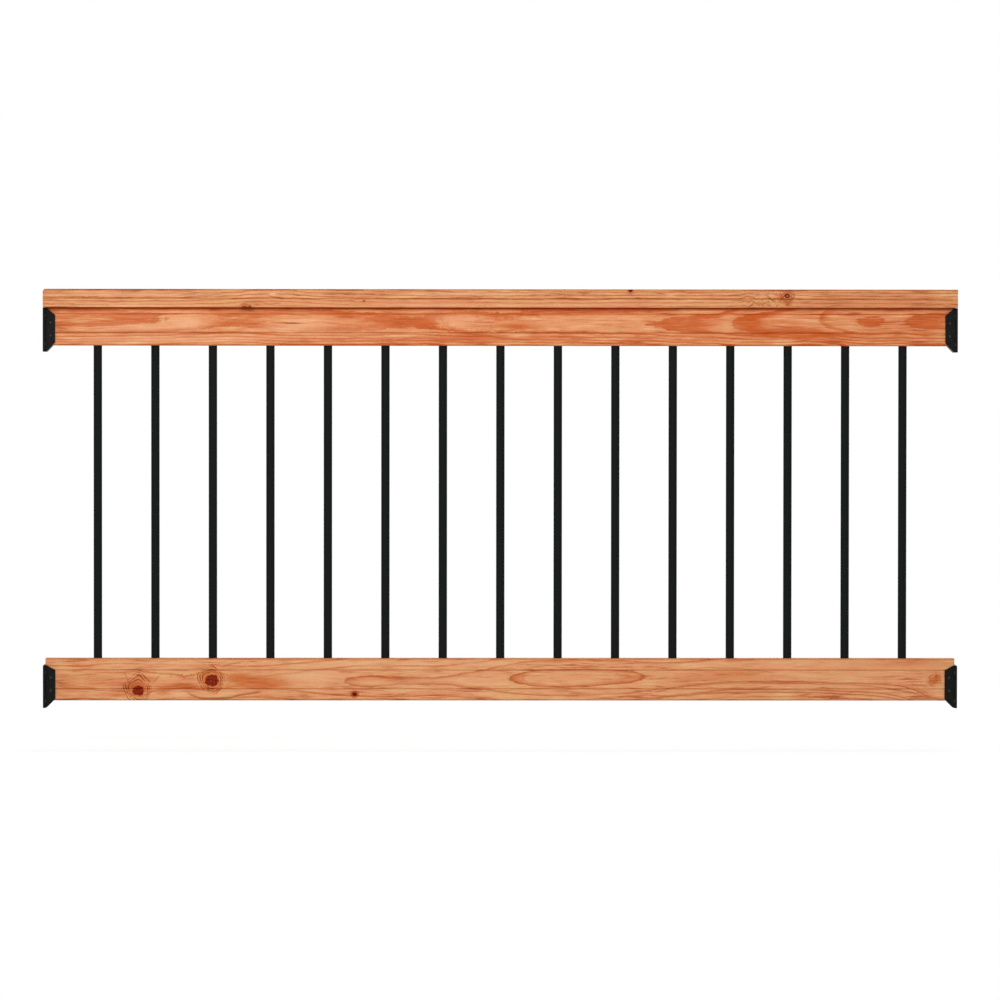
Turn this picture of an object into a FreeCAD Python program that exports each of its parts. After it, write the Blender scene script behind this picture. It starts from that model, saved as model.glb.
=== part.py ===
import FreeCAD, Part
import math
import os

from FreeCAD import Vector

# Deck railing section: a timber cap on a top rail, a bottom rail, a row of round tube balusters
# seated in drilled sockets, and four brackets that carry the rail ends on a pair of posts.
# All sizes are millimetres. +X runs along the railing, +Y to its back and +Z up. The origin is on
# the left post's face, at the centre of the lower left bracket's plate.

# Whole section
post_to_post = 1829.0
clear_height = 626.0

# Timber rails, planed from one stock, with two vee lines along each side face
rail_thickness = 36.5
rail_height = 84.5
rail_edge_radius = 4.0
vee_width = 3.0
vee_depth = 1.5
vee_band = 37.6
top_rail_vee_margin = 26.0
bottom_rail_vee_margin = 23.6

# Timber cap, ploughed underneath to sit over the top rail
cap_width = 84.5
cap_height = 36.5
cap_top_radius = 6.0
cap_bottom_radius = 2.5
cap_vee_height = 17.6
cap_plough_depth = 8.0
cap_plough_clearance = 0.25
cap_post_clearance = 0.5

# Balusters, open tubes that stand on the floor of the lower sockets
baluster_pitch = 115.2
baluster_end_margin = 60.0  # least distance from a post's face to the first baluster
baluster_diameter = 17.0
baluster_wall = 1.3
socket_clearance = 0.25
lower_socket_depth = 17.0
upper_socket_depth = 20.0
upper_socket_headroom = 3.0

# Brackets: a plate on the post, two cheeks beside the rail and a wedge that the rail sits on
plate_thickness = 4.0
plate_wing = 14.0
plate_corner_radius = 4.0
cheek_thickness = 3.0
cheek_clearance = 0.25
cheek_corner_radius = 2.5
cheek_root_radius = 2.0
bracket_reach = 24.0
bracket_toe = 6.0
lower_bracket_drop = 14.5  # from the rail's underside down to the bracket's foot
upper_bracket_drop = 12.5
lower_bracket_lip = 3.5  # from the rail's underside up to the cheeks' lower front corners
upper_bracket_lip = 6.0
bracket_shoulder = 61.0  # from the rail's underside up to the cheeks' upper front corners
lower_bracket_rise = 71.0  # from the rail's underside up to the bracket's top
bracket_cap_gap = 0.5  # from the top of an upper bracket to the cap

# Clearance holes through the wings for the screws to the post
post_screw_diameter = 5.0
post_screw_spacing = 56.0

# Heights and lengths that follow from the sizes above
upper_bracket_rise = rail_height - cap_plough_depth - bracket_cap_gap
bottom_rail_base = -(lower_bracket_rise - lower_bracket_drop) / 2
bottom_rail_top = bottom_rail_base + rail_height
top_rail_base = bottom_rail_top + clear_height
cap_base = top_rail_base + rail_height - cap_plough_depth
rail_length = post_to_post - 2 * plate_thickness
cap_length = post_to_post - 2 * cap_post_clearance
baluster_base = bottom_rail_top - lower_socket_depth
baluster_top = top_rail_base + upper_socket_depth - upper_socket_headroom
cheek_inner = rail_thickness / 2 + cheek_clearance
cheek_outer = cheek_inner + cheek_thickness
plate_half_width = cheek_outer + plate_wing
overcut = 1.0  # how far a cutter runs past the face that it opens


def rounded_outline(corners):
    """A closed wire through (point, radius) corners, each turned by an arc of its own radius."""
    turns = []
    for i, (corner, radius) in enumerate(corners):
        back = (corners[i - 1][0] - corner).normalize()
        ahead = (corners[(i + 1) % len(corners)][0] - corner).normalize()
        half_angle = back.getAngle(ahead) / 2
        setback = radius / math.tan(half_angle)
        inset = radius / math.sin(half_angle) - radius
        middle = corner + (back + ahead).normalize() * inset
        turns.append((radius, corner + back * setback, middle, corner + ahead * setback))
    edges = []
    for i, (radius, start, middle, end) in enumerate(turns):
        if radius > 0:
            edges.append(Part.Arc(start, middle, end).toShape())
        edges.append(Part.LineSegment(end, turns[(i + 1) % len(turns)][1]).toShape())
    return Part.Wire(edges)


def prism(corners, along):
    return Part.Face(rounded_outline(corners)).extrude(along)


def rectangle(low_y, high_y, low_z, high_z, low_radius, high_radius, x=0.0):
    """Corners of an upright rectangle across the railing, with one radius below and one above."""
    return [
        (Vector(x, low_y, low_z), low_radius),
        (Vector(x, high_y, low_z), low_radius),
        (Vector(x, high_y, high_z), high_radius),
        (Vector(x, low_y, high_z), high_radius),
    ]


def vee_line(length, face, height):
    """A cutter for one vee line along the side face at y = face."""
    side = math.copysign(1, face)
    mouth = vee_width / 2 * (1 + overcut / vee_depth)
    corners = [
        (Vector(-overcut, face - side * vee_depth, height), 0),
        (Vector(-overcut, face + side * overcut, height - mouth), 0),
        (Vector(-overcut, face + side * overcut, height + mouth), 0),
    ]
    return prism(corners, Vector(length + 2 * overcut, 0, 0))


def timber(length, width, height, bottom_radius, top_radius, vee_heights):
    """A planed bar along +X from x = 0, centred on y = 0, on z = 0, with vee lines on both sides."""
    half = width / 2
    bar = prism(rectangle(-half, half, 0, height, bottom_radius, top_radius), Vector(length, 0, 0))
    lines = [vee_line(length, face, z) for z in vee_heights for face in (-half, half)]
    return bar.cut(lines)


def baluster_places():
    """The balusters' places along X: as many as the pitch allows, centred between the posts."""
    steps = int((post_to_post - 2 * baluster_end_margin) // baluster_pitch)
    first = (post_to_post - steps * baluster_pitch) / 2
    return [first + step * baluster_pitch for step in range(steps + 1)]


def sockets(mouth, depth, inward):
    """Cutters for a row of blind sockets: inward is +1 where they go up into a rail, -1 down."""
    radius = baluster_diameter / 2 + socket_clearance
    start = mouth - inward * overcut
    return [
        Part.makeCylinder(radius, depth + overcut, Vector(x, 0, start), Vector(0, 0, inward))
        for x in baluster_places()
    ]


def rail(base, vee_margin, socket_cutters):
    vee_heights = (vee_margin, vee_margin + vee_band)
    bar = timber(rail_length, rail_thickness, rail_height, rail_edge_radius, rail_edge_radius, vee_heights)
    bar.translate(Vector(plate_thickness, 0, base))
    return bar.cut(socket_cutters)


def top_rail():
    return rail(top_rail_base, top_rail_vee_margin, sockets(top_rail_base, upper_socket_depth, 1))


def bottom_rail():
    return rail(bottom_rail_base, bottom_rail_vee_margin, sockets(bottom_rail_top, lower_socket_depth, -1))


def handrail_cap():
    cap = timber(cap_length, cap_width, cap_height, cap_bottom_radius, cap_top_radius, [cap_vee_height])
    half = rail_thickness / 2 + cap_plough_clearance
    plough = rectangle(-half, half, -overcut, cap_plough_depth, 0, 0, -overcut)
    cap = cap.cut(prism(plough, Vector(cap_length + 2 * overcut, 0, 0)))
    cap.translate(Vector(cap_post_clearance, 0, cap_base))
    return cap


def baluster(x):
    length = baluster_top - baluster_base
    foot = Vector(x, 0, baluster_base)
    outside = Part.makeCylinder(baluster_diameter / 2, length, foot)
    inside = Part.makeCylinder(baluster_diameter / 2 - baluster_wall, length, foot)
    return outside.cut(inside)


def bracket_side(half_width, drop, lip, rise):
    """The bracket's outline seen along the Y axis, from the post to the cheeks, as a wide prism."""
    corners = [
        (Vector(0, -half_width, -drop), 0),
        (Vector(bracket_toe, -half_width, -drop), cheek_corner_radius),
        (Vector(bracket_reach, -half_width, lip), cheek_corner_radius),
        (Vector(bracket_reach, -half_width, bracket_shoulder), cheek_corner_radius),
        (Vector(bracket_toe, -half_width, rise), cheek_corner_radius),
        (Vector(0, -half_width, rise), 0),
    ]
    return prism(corners, Vector(0, 2 * half_width, 0))


def bracket_plan(drop, rise):
    """The plate with its two cheeks seen from above, as a prism over the bracket's whole height."""
    corners = [(Vector(0, plate_half_width, 0), 0), (Vector(0, -plate_half_width, 0), 0)]
    for side in (-1, 1):
        cheek = [
            (Vector(plate_thickness, side * plate_half_width, 0), 0),
            (Vector(plate_thickness, side * cheek_outer, 0), cheek_root_radius),
            (Vector(bracket_reach, side * cheek_outer, 0), 0),
            (Vector(bracket_reach, side * cheek_inner, 0), 0),
            (Vector(plate_thickness, side * cheek_inner, 0), 0),
        ]
        corners += cheek if side < 0 else cheek[::-1]
    plan = prism(corners, Vector(0, 0, rise + drop))
    plan.translate(Vector(0, 0, -drop))
    return plan


def post_screw_holes(drop, rise):
    """Cutters for the four clearance holes, two in each wing."""
    middle = (rise - drop) / 2
    length = plate_thickness + 2 * overcut
    cutters = []
    for y in (-cheek_outer - plate_wing / 2, cheek_outer + plate_wing / 2):
        for z in (middle - post_screw_spacing / 2, middle + post_screw_spacing / 2):
            start = Vector(-overcut, y, z)
            cutters.append(Part.makeCylinder(post_screw_diameter / 2, length, start, Vector(1, 0, 0)))
    return cutters


def bracket(drop, lip, rise):
    """One bracket at the left post, from z = -drop to z = rise, with the rail's underside at z = 0."""
    wide = plate_half_width
    face = rectangle(-wide, wide, -drop, rise, plate_corner_radius, plate_corner_radius)
    front = prism(face, Vector(bracket_reach, 0, 0))
    shell = bracket_plan(drop, rise).common(bracket_side(wide, drop, lip, rise)).common(front)
    corner = Vector(0, -cheek_inner, -drop)
    below_rail = Part.makeBox(bracket_reach, 2 * cheek_inner, drop, corner)
    wedge = bracket_side(cheek_inner, drop, lip, rise).common(below_rail)
    return shell.fuse(wedge).removeSplitter().cut(post_screw_holes(drop, rise))


def place_bracket(base, shape, at_right):
    shape.translate(Vector(0, 0, base))
    if at_right:
        shape.rotate(Vector(post_to_post / 2, 0, 0), Vector(0, 0, 1), 180)
    return shape


def pieces():
    lower = (lower_bracket_drop, lower_bracket_lip, lower_bracket_rise)
    upper = (upper_bracket_drop, upper_bracket_lip, upper_bracket_rise)
    made = {
        "handrail_cap": handrail_cap(),
        "top_rail": top_rail(),
        "bottom_rail": bottom_rail(),
        "bracket_lower_left": place_bracket(bottom_rail_base, bracket(*lower), False),
        "bracket_lower_right": place_bracket(bottom_rail_base, bracket(*lower), True),
        "bracket_upper_left": place_bracket(top_rail_base, bracket(*upper), False),
        "bracket_upper_right": place_bracket(top_rail_base, bracket(*upper), True),
    }
    for number, x in enumerate(baluster_places(), 1):
        made[f"baluster_{number:02d}"] = baluster(x)
    return made


os.makedirs("parts", exist_ok=True)
for name, shape in pieces().items():
    print(name, len(shape.Solids), shape.isValid(), round(shape.Volume), "mm3", shape.BoundBox)
    shape.Solids[0].exportStep(f"parts/{name}.step")
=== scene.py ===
import math

import bmesh
import bpy
from mathutils import Matrix, Vector


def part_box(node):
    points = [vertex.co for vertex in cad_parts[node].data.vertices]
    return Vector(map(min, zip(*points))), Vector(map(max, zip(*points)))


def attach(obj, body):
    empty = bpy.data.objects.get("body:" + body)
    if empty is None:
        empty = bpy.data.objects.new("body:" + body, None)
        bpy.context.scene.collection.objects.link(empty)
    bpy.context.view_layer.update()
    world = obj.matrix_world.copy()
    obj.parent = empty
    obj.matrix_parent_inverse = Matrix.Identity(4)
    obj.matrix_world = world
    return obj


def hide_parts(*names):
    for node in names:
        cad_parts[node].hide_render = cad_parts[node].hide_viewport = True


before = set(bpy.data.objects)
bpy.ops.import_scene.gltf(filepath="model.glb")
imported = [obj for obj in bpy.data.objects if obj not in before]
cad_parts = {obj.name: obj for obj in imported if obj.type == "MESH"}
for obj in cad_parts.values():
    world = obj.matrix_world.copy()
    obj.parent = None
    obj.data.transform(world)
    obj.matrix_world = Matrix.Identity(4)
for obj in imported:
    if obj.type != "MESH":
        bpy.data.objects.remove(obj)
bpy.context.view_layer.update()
print("frame loaded with", len(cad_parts), "nodes")

mm = 0.001
scene = bpy.context.scene
scene.view_settings.view_transform = "Standard"


def srgb(red, green, blue):  # a colour as it is read off a screen, 0 to 255
    levels = [level / 255 for level in (red, green, blue)]
    linear = [v / 12.92 if v <= 0.04045 else ((v + 0.055) / 1.055) ** 2.4 for v in levels]
    return (*linear, 1.0)


def grey(level):
    return (level, level, level, 1.0)


# Node helpers: a Wire is one value in a node tree, and arithmetic on it adds Math nodes
def plug(tree, socket, value):
    if isinstance(value, Wire):
        tree.links.new(value.socket, socket)
    else:
        socket.default_value = value


def fill(tree, node, values):  # sets or links a node's inputs, by name or by number
    for label, value in values.items():
        plug(tree, node.inputs[label], value)


def addNode(tree, kind, inputs, output=0, **settings):  # a new node's output
    node = tree.nodes.new(kind)
    for label, value in settings.items():
        setattr(node, label, value)
    fill(tree, node, inputs)
    return Wire(tree, node.outputs[output])


class Wire:
    def __init__(self, tree, socket):
        self.tree = tree
        self.socket = socket

    def do(self, operation, *others):
        return sums(self.tree, operation, self, *others)

    def __add__(self, other):
        return self.do("ADD", other)

    def __sub__(self, other):
        return self.do("SUBTRACT", other)

    def __mul__(self, other):
        return self.do("MULTIPLY", other)

    def __truediv__(self, other):
        return self.do("DIVIDE", other)

    def step(self, low, high):  # 0 below low, 1 above high, smooth between
        inputs = {"Value": self, "From Min": low, "From Max": high}
        return addNode(self.tree, "ShaderNodeMapRange", inputs, interpolation_type="SMOOTHSTEP")

    def inverted(self):
        return sums(self.tree, "SUBTRACT", 1.0, self)


def sums(tree, operation, *values):
    return addNode(tree, "ShaderNodeMath", dict(enumerate(values)), operation=operation)


def combined(tree, x, y, z):
    return addNode(tree, "ShaderNodeCombineXYZ", {"X": x, "Y": y, "Z": z})


def noise(tree, place, scale=1.0, detail=2.0, roughness=0.5):  # centred on 0, about -0.5 to 0.5
    inputs = {"Vector": place, "Scale": scale, "Detail": detail, "Roughness": roughness}
    return addNode(tree, "ShaderNodeTexNoise", inputs, "Fac") - 0.5


def mixed(tree, amount, first, second, blend="MIX"):  # inputs 6 and 7 and output 2 are the colours
    inputs = {0: amount, 6: first, 7: second}
    return addNode(tree, "ShaderNodeMix", inputs, 2, data_type="RGBA", blend_type=blend)


def newGroup(name, inputs, outputs):  # inputs and outputs: socket name to a sample value
    def addSocket(label, sample, side):
        colour = isinstance(sample, tuple) and len(sample) == 4
        vector = isinstance(sample, tuple) and len(sample) == 3
        kind = "NodeSocketColor" if colour else "NodeSocketVector" if vector else "NodeSocketFloat"
        tree.interface.new_socket(label, in_out=side, socket_type=kind).default_value = sample

    tree = bpy.data.node_groups.new(name, "ShaderNodeTree")
    for label, sample in inputs.items():
        addSocket(label, sample, "INPUT")
    for label, sample in outputs.items():
        addSocket(label, sample, "OUTPUT")
    start = tree.nodes.new("NodeGroupInput")
    end = tree.nodes.new("NodeGroupOutput")
    return tree, {label: Wire(tree, start.outputs[label]) for label in inputs}, end


def useGroup(tree, group, values):
    node = tree.nodes.new("ShaderNodeGroup")
    node.node_tree = group
    fill(tree, node, values)
    return {socket.name: Wire(tree, socket) for socket in node.outputs}


# Shader effects that the finishes share
white = grey(1.0)
spotSockets = {"Along": 0.0, "Depth": 0.0, "Height": 0.0}

# Noise in the wood: fineness along the board, into it and up it, then detail and roughness
grainNoise = {
    "bend": (0.012, 0.035, 0.035, 3.0, 0.5), "calmBend": (0.012, 0.035, 0.035, 0.6, 0.5),
    "figure": (0.024, 0.15, 0.15, 3.0, 0.6), "fibres": (0.03, 0.45, 0.45, 3.0, 0.6),
    "streak": (0.011, 0.17, 0.17, 4.0, 0.66), "strand": (0.02, 0.4, 0.4, 3.0, 0.62),
    "hair": (0.03, 0.9, 0.9, 2.0, 0.5), "pores": (0.12, 2.6, 2.6, 1.0, 0.5),
    "mottle": (0.009, 0.05, 0.05, 2.0, 0.5), "fleck": (0.3, 0.55, 0.55, 2.0, 0.5),
    "patch": (0.045, 0.17, 0.17, 4.0, 0.66), "heart": (0.3, 0.1, 0.3, 4.0, 0.6),
    "jitter": (0.05, 0.1, 0.05, 2.0, 0.5), "crinkle": (0.07, 0.1, 0.09, 3.0, 0.6),
    "sway": (0.03, 0.1, 0.1, 3.0, 0.5), "lift": (0.051, 0.17, 0.17, 3.0, 0.5),
}


def grain(tree, place, name):
    along, inward, upward, detail, roughness = grainNoise[name]
    spot = combined(tree, place["Along"] * along, place["Depth"] * inward, place["Height"] * upward)
    return noise(tree, spot, detail=detail, roughness=roughness)


def weighted(parts, shares):  # a sum of named values, each times its share
    total = None
    for name, share in shares.items():
        part = parts[name] * share
        total = part if total is None else total + part
    return total


def makeBoardPlace():  # a point's place in its board: millimetres from left post, front face and underside
    tree, given, end = newGroup(
        "boardPlace",
        {"Position": (0.0, 0.0, 0.0), "Front": 0.0, "Underside": 0.0},
        spotSockets,
    )
    parts = tree.nodes.new("ShaderNodeSeparateXYZ")
    plug(tree, parts.inputs[0], given["Position"])
    x, y, z = (Wire(tree, socket) / mm for socket in parts.outputs)
    fill(tree, end, {"Along": x, "Depth": y - given["Front"], "Height": z - given["Underside"]})
    return tree


def makeSwell():  # a smooth oval hill, for bending the rings and for marks
    tree, given, end = newGroup(
        "grainSwell",
        {"Along": 0.0, "Height": 0.0, "Centre Along": 0.0, "Centre Height": 0.0,
         "Reach Along": 10.0, "Reach Height": 10.0, "Rise": 1.0},
        {"Rise": 0.0},
    )
    across = (given["Along"] - given["Centre Along"]) / given["Reach Along"]
    up = (given["Height"] - given["Centre Height"]) / given["Reach Height"]
    fall = across * across + up * up
    hill = (fall * -1.0).do("EXPONENT")
    plug(tree, end.inputs["Rise"], hill * given["Rise"])
    return tree


# Knots: lengths are in radii, counted from the middle
knotLook = {
    "wobble": (0.16, 2.0), "drift": (0.045, 0.0), "gaps": (0.1, 1.0),  # fineness a millimetre, detail
    "depthShare": 0.4, "driftShare": 0.6, "wobbleShare": 0.04, "pullFall": 1.2, "thinnest": 0.02,
    "coreFlat": 1.15, "coreWobble": 0.7, "coreEdge": (0.85, 1.1), "haloStart": 1.1, "haloPast": 0.9,
    "lineEdge": (0.06, 0.36), "gapEdge": (-0.22, 0.12), "firstBand": (-0.6, -0.3), "lastBand": (1.6, 2.8),
}


def makeKnot():  # a branch that thins with depth: rings bent round it, its dark core and fine lines
    tree, given, end = newGroup(
        "knot",
        {**spotSockets, "Centre Along": 0.0, "Centre Height": 0.0, "Radius": 10.0, "Rings": -3.0,
         "Stretch Up": 1.0, "Dies At": 120.0, "First Line": 1.4, "Line Gap": 0.4},
        {"Rings": 0.0, "Core": 0.0, "Halo": 0.0, "Lines": 0.0},
    )
    look = knotLook
    across = given["Along"] - given["Centre Along"]
    up = given["Height"] - given["Centre Height"]
    place = combined(tree, across, given["Depth"] * look["depthShare"], up)
    wobble, drift, gaps = (noise(tree, place, *look[name]) for name in ("wobble", "drift", "gaps"))
    stretched = up.do("MAXIMUM", 0.0) * given["Stretch Up"] + up.do("MINIMUM", 0.0)
    thinned = (given["Depth"] / given["Dies At"]).inverted().do("MAXIMUM", look["thinnest"])
    radius = given["Radius"] * thinned
    flattened = up * look["coreFlat"]
    coreSpread = (across * across + flattened * flattened).do("SQRT") / radius
    spread = (across * across + stretched * stretched).do("SQRT") / radius
    ragged = spread + drift * spread * look["driftShare"] + wobble * look["wobbleShare"]
    pull = (ragged * -look["pullFall"] + look["pullFall"]).do("EXPONENT")
    core = (coreSpread + wobble * look["coreWobble"]).step(*look["coreEdge"]).inverted()
    halo = ragged.step(look["haloStart"], given["First Line"] + look["haloPast"]).inverted()
    count = (ragged - given["First Line"]) / given["Line Gap"]
    nearest = ((count + 0.5).do("FRACT") - 0.5).do("ABSOLUTE")
    banded = count.step(*look["firstBand"]) * count.step(*look["lastBand"]).inverted()
    drawn = nearest.step(*look["lineEdge"]).inverted() * banded * gaps.step(*look["gapEdge"])
    fill(tree, end, {"Rings": pull * given["Rings"], "Core": core, "Halo": halo, "Lines": drawn})
    return tree


# The grain is calmer behind the front face: millimetres in, and the share that is left there
calmLook = {"depth": (3.0, 16.0), "share": 0.13}


def makeGrowthRings():  # ring number at a point: rings round the pith, bent along the board
    tree, given, end = newGroup(
        "growthRings",
        {**spotSockets, "Ring Offset": 0.0, "Pith Depth": 50.0, "Pith Height": 40.0, "Ring Width": 8.0,
         "Wander": 1.0, "Figure": 0.1, "Fibre": 0.05},
        {"Ring": 0.0},
    )
    inward = given["Pith Depth"] - given["Depth"]
    upward = given["Height"] - given["Pith Height"]
    radius = (inward * inward + upward * upward).do("SQRT")
    front = given["Depth"].step(*calmLook["depth"]).inverted()
    broad = grain(tree, given, "bend") * front + grain(tree, given, "calmBend") * front.inverted()
    fine = grain(tree, given, "figure") * given["Figure"] + grain(tree, given, "fibres") * given["Fibre"]
    ring = (radius - given["Pith Depth"] + broad * given["Wander"]) / given["Ring Width"]
    ring = ring + fine * (front * (1 - calmLook["share"]) + calmLook["share"])
    plug(tree, end.inputs["Ring"], ring + given["Ring Offset"])
    return tree


# Timber: what the three boards share
timberLook = {
    "chanceAlong": 0.006, "chanceByRing": 3.7,  # how fast a ring's strength changes
    "lateVaries": 1.1, "lateShare": 0.9, "lineVaries": 1.8,
    "ringEdge": (0.965, 1.0), "lineFull": 0.97, "innerLine": (0.76, 0.79, 0.82),  # places in a ring, 0 to 1
    "poreEdge": (0.16, 0.3), "markTone": {"strand": 1.4, "streak": 0.8}, "haloWarmth": 0.85,
    "tone": {"streak": 0.8, "strand": 0.85, "hair": 0.45, "mottle": 0.7},
    "paleFull": 0.32, "paleShare": 0.9, "paleLoss": 0.65, "darkFull": 0.36,
    "hue": {"patch": 0.8, "mottle": 0.5}, "hueShift": (-0.35, 0.32, -0.5),  # of red, green and blue
    "crackColour": (0.06, 0.006, 0.002, 1.0), "crackEdge": (-0.12, 0.1),
    "fleckEdge": (0.1, 0.24), "fleckShare": 0.75,
    "veeFrom": (0.1, 1.0), "veeTo": (2.2, 4.0), "veeClear": (3.0, 5.0),  # millimetres from a face or edge
    "cornerReach": (3.0, 9.0), "edgeReach": (0.5, 5.0), "crownFrom": (5.0, 9.0), "markReach": (4.0, 12.0),
    "markDepth": 0.6, "knotLineDepth": 0.58, "shade": {"hair": 0.18, "fleck": 0.26, "pores": -0.09},
    "greenPower": 1.7, "bluePower": 2.6,  # darker is also redder
    "roughness": 0.66, "rough": {"hair": 0.2, "late": -0.08, "core": -0.1},
    "relief": {"late": 0.5, "hair": 0.6, "streak": 0.4, "pores": -0.5},
    "reliefStrength": 0.5, "specular": 0.07,
}


def makeTimberColour():
    tree, given, end = newGroup(
        "timberColour",
        {**spotSockets, "Ring": 0.0, "Thickness": 36.5, "Board Height": 84.5,
         "Knot Core": 0.0, "Knot Halo": 0.0, "Knot Lines": 0.0, "Drawn Lines": 0.0, "Calm": 0.0,
         "Warm Marks": 0.0, "Dark Marks": 0.0, "Pale Marks": 0.0,
         "Earlywood": white, "Latewood": white, "Ring Line": white, "Pale": white, "Knot Colour": white,
         "Late Start": 0.5, "Late Full": 0.9, "Line Start": 0.88, "Line Strength": 0.5, "Inner Line": 0.0,
         "Streaks": 0.5, "Hue Drift": 1.0, "Vee Tone": 0.1, "Foot Tone": 0.2, "Crown Tone": 0.2},
        {"Color": white, "Roughness": 0.6, "Relief": 0.0},
    )
    look = timberLook
    depth, height = given["Depth"], given["Height"]
    lively = given["Calm"].do("MINIMUM", 1.0).inverted()

    # fibres, from long soft streaks to short pores
    fibreNames = ("streak", "strand", "hair", "mottle", "fleck", "patch", "pores")
    parts = {name: grain(tree, given, name) for name in fibreNames}
    parts["pores"] = parts["pores"].step(*look["poreEdge"])

    # ring bands: pale early wood that darkens to a sharp edge, each as strong as its own chance makes it
    phase = given["Ring"].do("FRACT")
    number = given["Ring"].do("FLOOR")
    spot = combined(tree, given["Along"] * look["chanceAlong"], number * look["chanceByRing"], 0.0)
    chance = noise(tree, spot, detail=2.0)
    edge = phase.step(*look["ringEdge"]).inverted()
    late = phase.step(given["Late Start"], given["Late Full"]) * edge
    late = late * (chance * look["lateVaries"] + look["lateShare"])
    start, middle, finish = look["innerLine"]
    inner = phase.step(start, middle) * phase.step(middle, finish).inverted()
    line = phase.step(given["Line Start"], look["lineFull"]) * edge
    line = line * (given["Line Strength"] * (chance * look["lineVaries"] + 1.0))
    line = ((line + inner * given["Inner Line"]) * lively).do("MAXIMUM", given["Drawn Lines"])

    # early wood, warmed by late wood, halos and marks, then paler and darker fibres and the lines
    marks = given["Warm Marks"] * (weighted(parts, look["markTone"]) + 1.0)
    warm = (late + given["Knot Halo"] * look["haloWarmth"]).do("MAXIMUM", marks).do("MINIMUM", 1.0)
    tone = weighted(parts, look["tone"]) * given["Streaks"] * lively
    paler = tone.step(0.0, look["paleFull"]) * (warm * -look["paleLoss"] + look["paleShare"])
    colour = mixed(tree, warm, given["Earlywood"], given["Latewood"])
    colour = mixed(tree, paler, colour, given["Pale"])
    colour = mixed(tree, (tone * -1.0).step(0.0, look["darkFull"]), colour, given["Ring Line"])
    colour = mixed(tree, line.do("MAXIMUM", 0.0).do("MINIMUM", 1.0), colour, given["Ring Line"])

    # patches that lean to tan or to pink
    drift = weighted(parts, look["hue"]) * given["Hue Drift"]
    tint = combined(tree, *(drift * shift + 1.0 for shift in look["hueShift"]))
    colour = mixed(tree, 1.0, colour, tint, "MULTIPLY")

    # knot cores: dark red, with black cracks and a few paler flecks
    heart = grain(tree, given, "heart")
    core = mixed(tree, heart.step(*look["crackEdge"]), look["crackColour"], given["Knot Colour"])
    core = mixed(tree, heart.step(*look["fleckEdge"]) * look["fleckShare"], core, given["Latewood"])
    colour = mixed(tree, given["Knot Core"], colour, core)
    colour = mixed(tree, given["Pale Marks"], colour, given["Pale"])

    # painted shade in the vee lines and on the rounded bottom and top edges; the dark marks near the faces
    # hold knots, cracks and painted shadow
    fromFace = depth.do("MINIMUM", given["Thickness"] - depth)
    fromEdge = height.do("MINIMUM", given["Board Height"] - height)
    vee = fromFace.step(*look["veeFrom"]) * fromFace.step(*look["veeTo"]).inverted()
    vee = vee * fromEdge.step(*look["veeClear"]) * given["Vee Tone"]
    corner = fromFace.step(*look["cornerReach"]).inverted()
    foot = height.step(*look["edgeReach"]).inverted() * corner * given["Foot Tone"]
    crown = fromEdge.step(*look["edgeReach"]).inverted() * height.step(*look["crownFrom"]) * corner
    paintedShade = vee.do("MAXIMUM", foot).do("MAXIMUM", crown * given["Crown Tone"])
    marked = given["Dark Marks"] * fromFace.step(*look["markReach"]).inverted() * -look["markDepth"] + 1.0
    shade = (weighted(parts, look["shade"]) + 1.0) * marked * paintedShade.inverted()
    shade = shade * (given["Knot Lines"] * -look["knotLineDepth"] + 1.0)
    green, blue = (shade.do("POWER", look[name]) for name in ("greenPower", "bluePower"))
    colour = mixed(tree, 1.0, colour, combined(tree, shade, green, blue), "MULTIPLY")

    parts.update({"late": late, "core": given["Knot Core"]})
    rough = weighted(parts, look["rough"]) + look["roughness"]
    fill(tree, end, {"Color": colour, "Roughness": rough, "Relief": weighted(parts, look["relief"])})
    return tree


# Coat: what the metal finishes share
coatLook = {
    "patchFineness": 38.0, "patchShare": 0.18, "pimpleShare": 0.1, "reliefStrength": 0.4,
    "speckFineness": 900.0, "speckEdge": (0.24, 0.34),
}


def makeCoat():  # a sprayed black coat: fine pimples, a few dull patches and bright specks
    tree, given, end = newGroup(
        "sprayedCoat",
        {"Position": (0.0, 0.0, 0.0), "Coat": white, "Speck": white, "Pimple Size": 0.4, "Specks": 0.3,
         "Gloss": 0.4},
        {"Color": white, "Roughness": 0.5, "Relief": 0.0},
    )
    place = given["Position"]
    cells = sums(tree, "DIVIDE", 1.0, given["Pimple Size"] * mm)
    pimples = noise(tree, place, cells, detail=1.0)
    patches = noise(tree, place, coatLook["patchFineness"], detail=3.0)
    specks = noise(tree, place, coatLook["speckFineness"], detail=0.0).step(*coatLook["speckEdge"])
    colour = mixed(tree, specks * given["Specks"], given["Coat"], given["Speck"])
    rough = given["Gloss"] + patches * coatLook["patchShare"] + pimples * coatLook["pimpleShare"]
    fill(tree, end, {"Color": colour, "Roughness": rough, "Relief": pimples})
    return tree


boardPlace = makeBoardPlace()
grainSwell = makeSwell()
knot = makeKnot()
growthRings = makeGrowthRings()
timberColour = makeTimberColour()
sprayedCoat = makeCoat()
print("shader groups made")


def newMaterial(name):
    material = bpy.data.materials.new(name)
    material.use_nodes = True
    tree = material.node_tree
    shader = tree.nodes["Principled BSDF"]
    position = addNode(tree, "ShaderNodeTexCoord", {}, "Object")
    return material, tree, shader, position


def addRelief(tree, shader, relief, distance, strength):
    bump = addNode(tree, "ShaderNodeBump", {"Distance": distance, "Strength": strength, "Height": relief})
    plug(tree, shader.inputs["Normal"], bump)


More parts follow.
